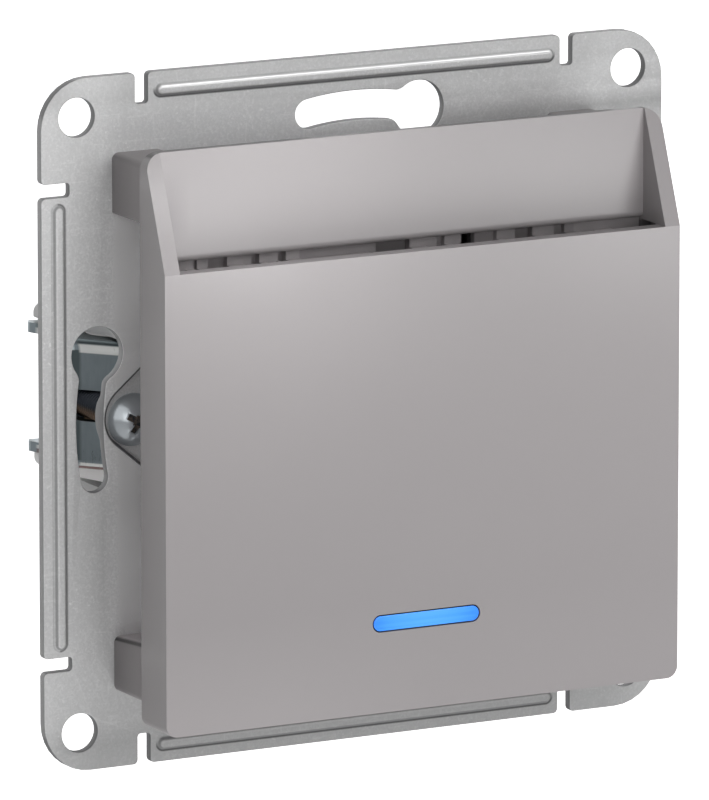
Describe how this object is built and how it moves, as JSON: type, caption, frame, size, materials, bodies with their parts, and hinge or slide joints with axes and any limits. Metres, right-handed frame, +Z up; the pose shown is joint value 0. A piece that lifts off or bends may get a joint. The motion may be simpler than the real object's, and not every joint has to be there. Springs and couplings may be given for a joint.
{
  "type": "hotel key card switch",
  "caption": "Wall switch worked by a hotel key card: a card pocket over a lit window, on a steel plate with expanding claws for a round wall box.",
  "frame": {"origin": "centre of the four corner holes, on the back face of the support plate, where it meets the wall", "axes": "+X to the viewer's right, +Y into the wall, +Z up; the card goes in from above, along -Z"},
  "size_m": [0.071, 0.0399, 0.071],
  "materials": {
    "zinc_plate": "bright zinc-plated sheet with a fine grain",
    "cover_plastic": "satin aluminium-coloured lacquered plastic",
    "blue_lens": "tinted clear plastic with fine ribs, lit from behind",
    "clear_plastic": "clear moulded plastic",
    "board_laminate": "green glass-fibre laminate",
    "led_body": "white LED body",
    "tinned_brass": "plain brass",
    "casing_plastic": "dark grey moulded plastic",
    "lid_plastic": "light grey moulded plastic",
    "zinc_screw": "bright zinc-plated steel",
    "capacitor_shell": "yellow moulded shell",
    "component_black": "black moulded body",
    "resistor_body": "lacquered body",
    "copper_bar": "bright copper alloy strip",
    "silver_contact": "silver contact rivet",
    "bronze_blade": "spring bronze strip",
    "spring_steel": "bright spring wire",
    "claw_steel": "blue-grey passivated steel"
  },
  "bodies": {
    "base": {"mounting_plate": "zinc_plate", "front_cover": "cover_plastic", "card_carrier": "cover_plastic", "status_lens": "blue_lens", "light_pipe": "clear_plastic", "led_board": "board_laminate", "status_leds": "led_body", "led_leads": "tinned_brass", "rear_housing": "casing_plastic", "housing_lid": "lid_plastic", "assembly_screws": "zinc_screw", "circuit_board": "board_laminate", "dropper_capacitor": "capacitor_shell", "rectifier": "component_black", "board_resistors": "resistor_body", "common_bar": "copper_bar", "switched_bar": "copper_bar", "neutral_bar": "copper_bar", "fixed_contact": "silver_contact", "blade_pin": "zinc_screw", "contact_spring": "spring_steel", "lever_pin": "zinc_screw", "lever_spring": "spring_steel"},
    "lever": {"card_lever": "lid_plastic"},
    "plunger": {"switch_plunger": "lid_plastic"},
    "contact_arm": {"contact_blade": "bronze_blade", "moving_contact": "silver_contact"},
    "claw_screw_left": {"claw_screw_left": "zinc_screw"},
    "claw_left": {"claw_left": "claw_steel"},
    "claw_nut_left": {"claw_nut_left": "tinned_brass"},
    "claw_screw_right": {"claw_screw_right": "zinc_screw"},
    "claw_right": {"claw_right": "claw_steel"},
    "claw_nut_right": {"claw_nut_right": "tinned_brass"},
    "terminal_screw_1": {"terminal_screw_1": "zinc_screw"},
    "terminal_cage_1": {"terminal_cage_1": "tinned_brass"},
    "terminal_screw_2": {"terminal_screw_2": "zinc_screw"},
    "terminal_cage_2": {"terminal_cage_2": "tinned_brass"},
    "terminal_screw_3": {"terminal_screw_3": "zinc_screw"},
    "terminal_cage_3": {"terminal_cage_3": "tinned_brass"}
  },
  "joints": [
    {"name": "lever_swing", "type": "hinge", "parent": "base", "child": "lever", "pos_m": [0, -0.006, 0.009], "axis": [1, 0, 0], "range_deg": [0, 8], "stiffness_Nm_per_rad": 0.01, "springref_deg": -5.73, "deforming": ["lever_spring"]},
    {"name": "plunger_travel", "type": "slide", "parent": "base", "child": "plunger", "axis": [0, 1, 0], "range_m": [0, 0.0014]},
    {"name": "contact_swing", "type": "hinge", "parent": "base", "child": "contact_arm", "pos_m": [0, 0.00635, 0.008], "axis": [1, 0, 0], "range_deg": [0, 8.9], "stiffness_Nm_per_rad": 0.005, "springref_deg": -2.86, "deforming": ["contact_spring"]},
    {"name": "claw_screw_left_turn", "type": "hinge", "parent": "base", "child": "claw_screw_left", "pos_m": [-0.025, 0, 0], "axis": [0, 1, 0], "range_deg": [0, 3240]},
    {"name": "claw_left_swing", "type": "hinge", "parent": "base", "child": "claw_left", "pos_m": [-0.021, 0.003, 0], "axis": [0, 0, 1], "range_deg": [0, 30]},
    {"name": "claw_nut_left_travel", "type": "slide", "parent": "base", "child": "claw_nut_left", "axis": [0, -1, 0], "range_m": [0, 0.0045]},
    {"name": "claw_screw_right_turn", "type": "hinge", "parent": "base", "child": "claw_screw_right", "pos_m": [0.025, 0, 0], "axis": [0, 1, 0], "range_deg": [0, 3240]},
    {"name": "claw_right_swing", "type": "hinge", "parent": "base", "child": "claw_right", "pos_m": [0.021, 0.003, 0], "axis": [0, 0, -1], "range_deg": [0, 30]},
    {"name": "claw_nut_right_travel", "type": "slide", "parent": "base", "child": "claw_nut_right", "axis": [0, -1, 0], "range_m": [0, 0.0045]},
    {"name": "terminal_screw_1_turn", "type": "hinge", "parent": "base", "child": "terminal_screw_1", "pos_m": [-0.0086, 0.017, 0.02], "axis": [0, 0, -1], "range_deg": [0, 2160]},
    {"name": "terminal_cage_1_lift", "type": "slide", "parent": "base", "child": "terminal_cage_1", "axis": [0, 0, 1], "range_m": [0, 0.003]},
    {"name": "terminal_screw_2_turn", "type": "hinge", "parent": "base", "child": "terminal_screw_2", "pos_m": [0, 0.017, 0.02], "axis": [0, 0, -1], "range_deg": [0, 2160]},
    {"name": "terminal_cage_2_lift", "type": "slide", "parent": "base", "child": "terminal_cage_2", "axis": [0, 0, 1], "range_m": [0, 0.003]},
    {"name": "terminal_screw_3_turn", "type": "hinge", "parent": "base", "child": "terminal_screw_3", "pos_m": [0.0086, 0.017, 0.02], "axis": [0, 0, -1], "range_deg": [0, 2160]},
    {"name": "terminal_cage_3_lift", "type": "slide", "parent": "base", "child": "terminal_cage_3", "axis": [0, 0, 1], "range_m": [0, 0.003]}
  ],
  "couplings": [
    {"joint": "lever_swing", "follows": "plunger_travel", "rad_per_m": 99.7},
    {"joint": "contact_swing", "follows": "plunger_travel", "rad_per_m": 110.9},
    {"joint": "claw_left_swing", "follows": "claw_nut_left_travel", "rad_per_m": 116.36},
    {"joint": "claw_screw_left_turn", "follows": "claw_nut_left_travel", "rad_per_m": 12566},
    {"joint": "claw_right_swing", "follows": "claw_nut_right_travel", "rad_per_m": 116.36},
    {"joint": "claw_screw_right_turn", "follows": "claw_nut_right_travel", "rad_per_m": 12566},
    {"joint": "terminal_screw_1_turn", "follows": "terminal_cage_1_lift", "rad_per_m": 12566},
    {"joint": "terminal_screw_2_turn", "follows": "terminal_cage_2_lift", "rad_per_m": 12566},
    {"joint": "terminal_screw_3_turn", "follows": "terminal_cage_3_lift", "rad_per_m": 12566}
  ]
}
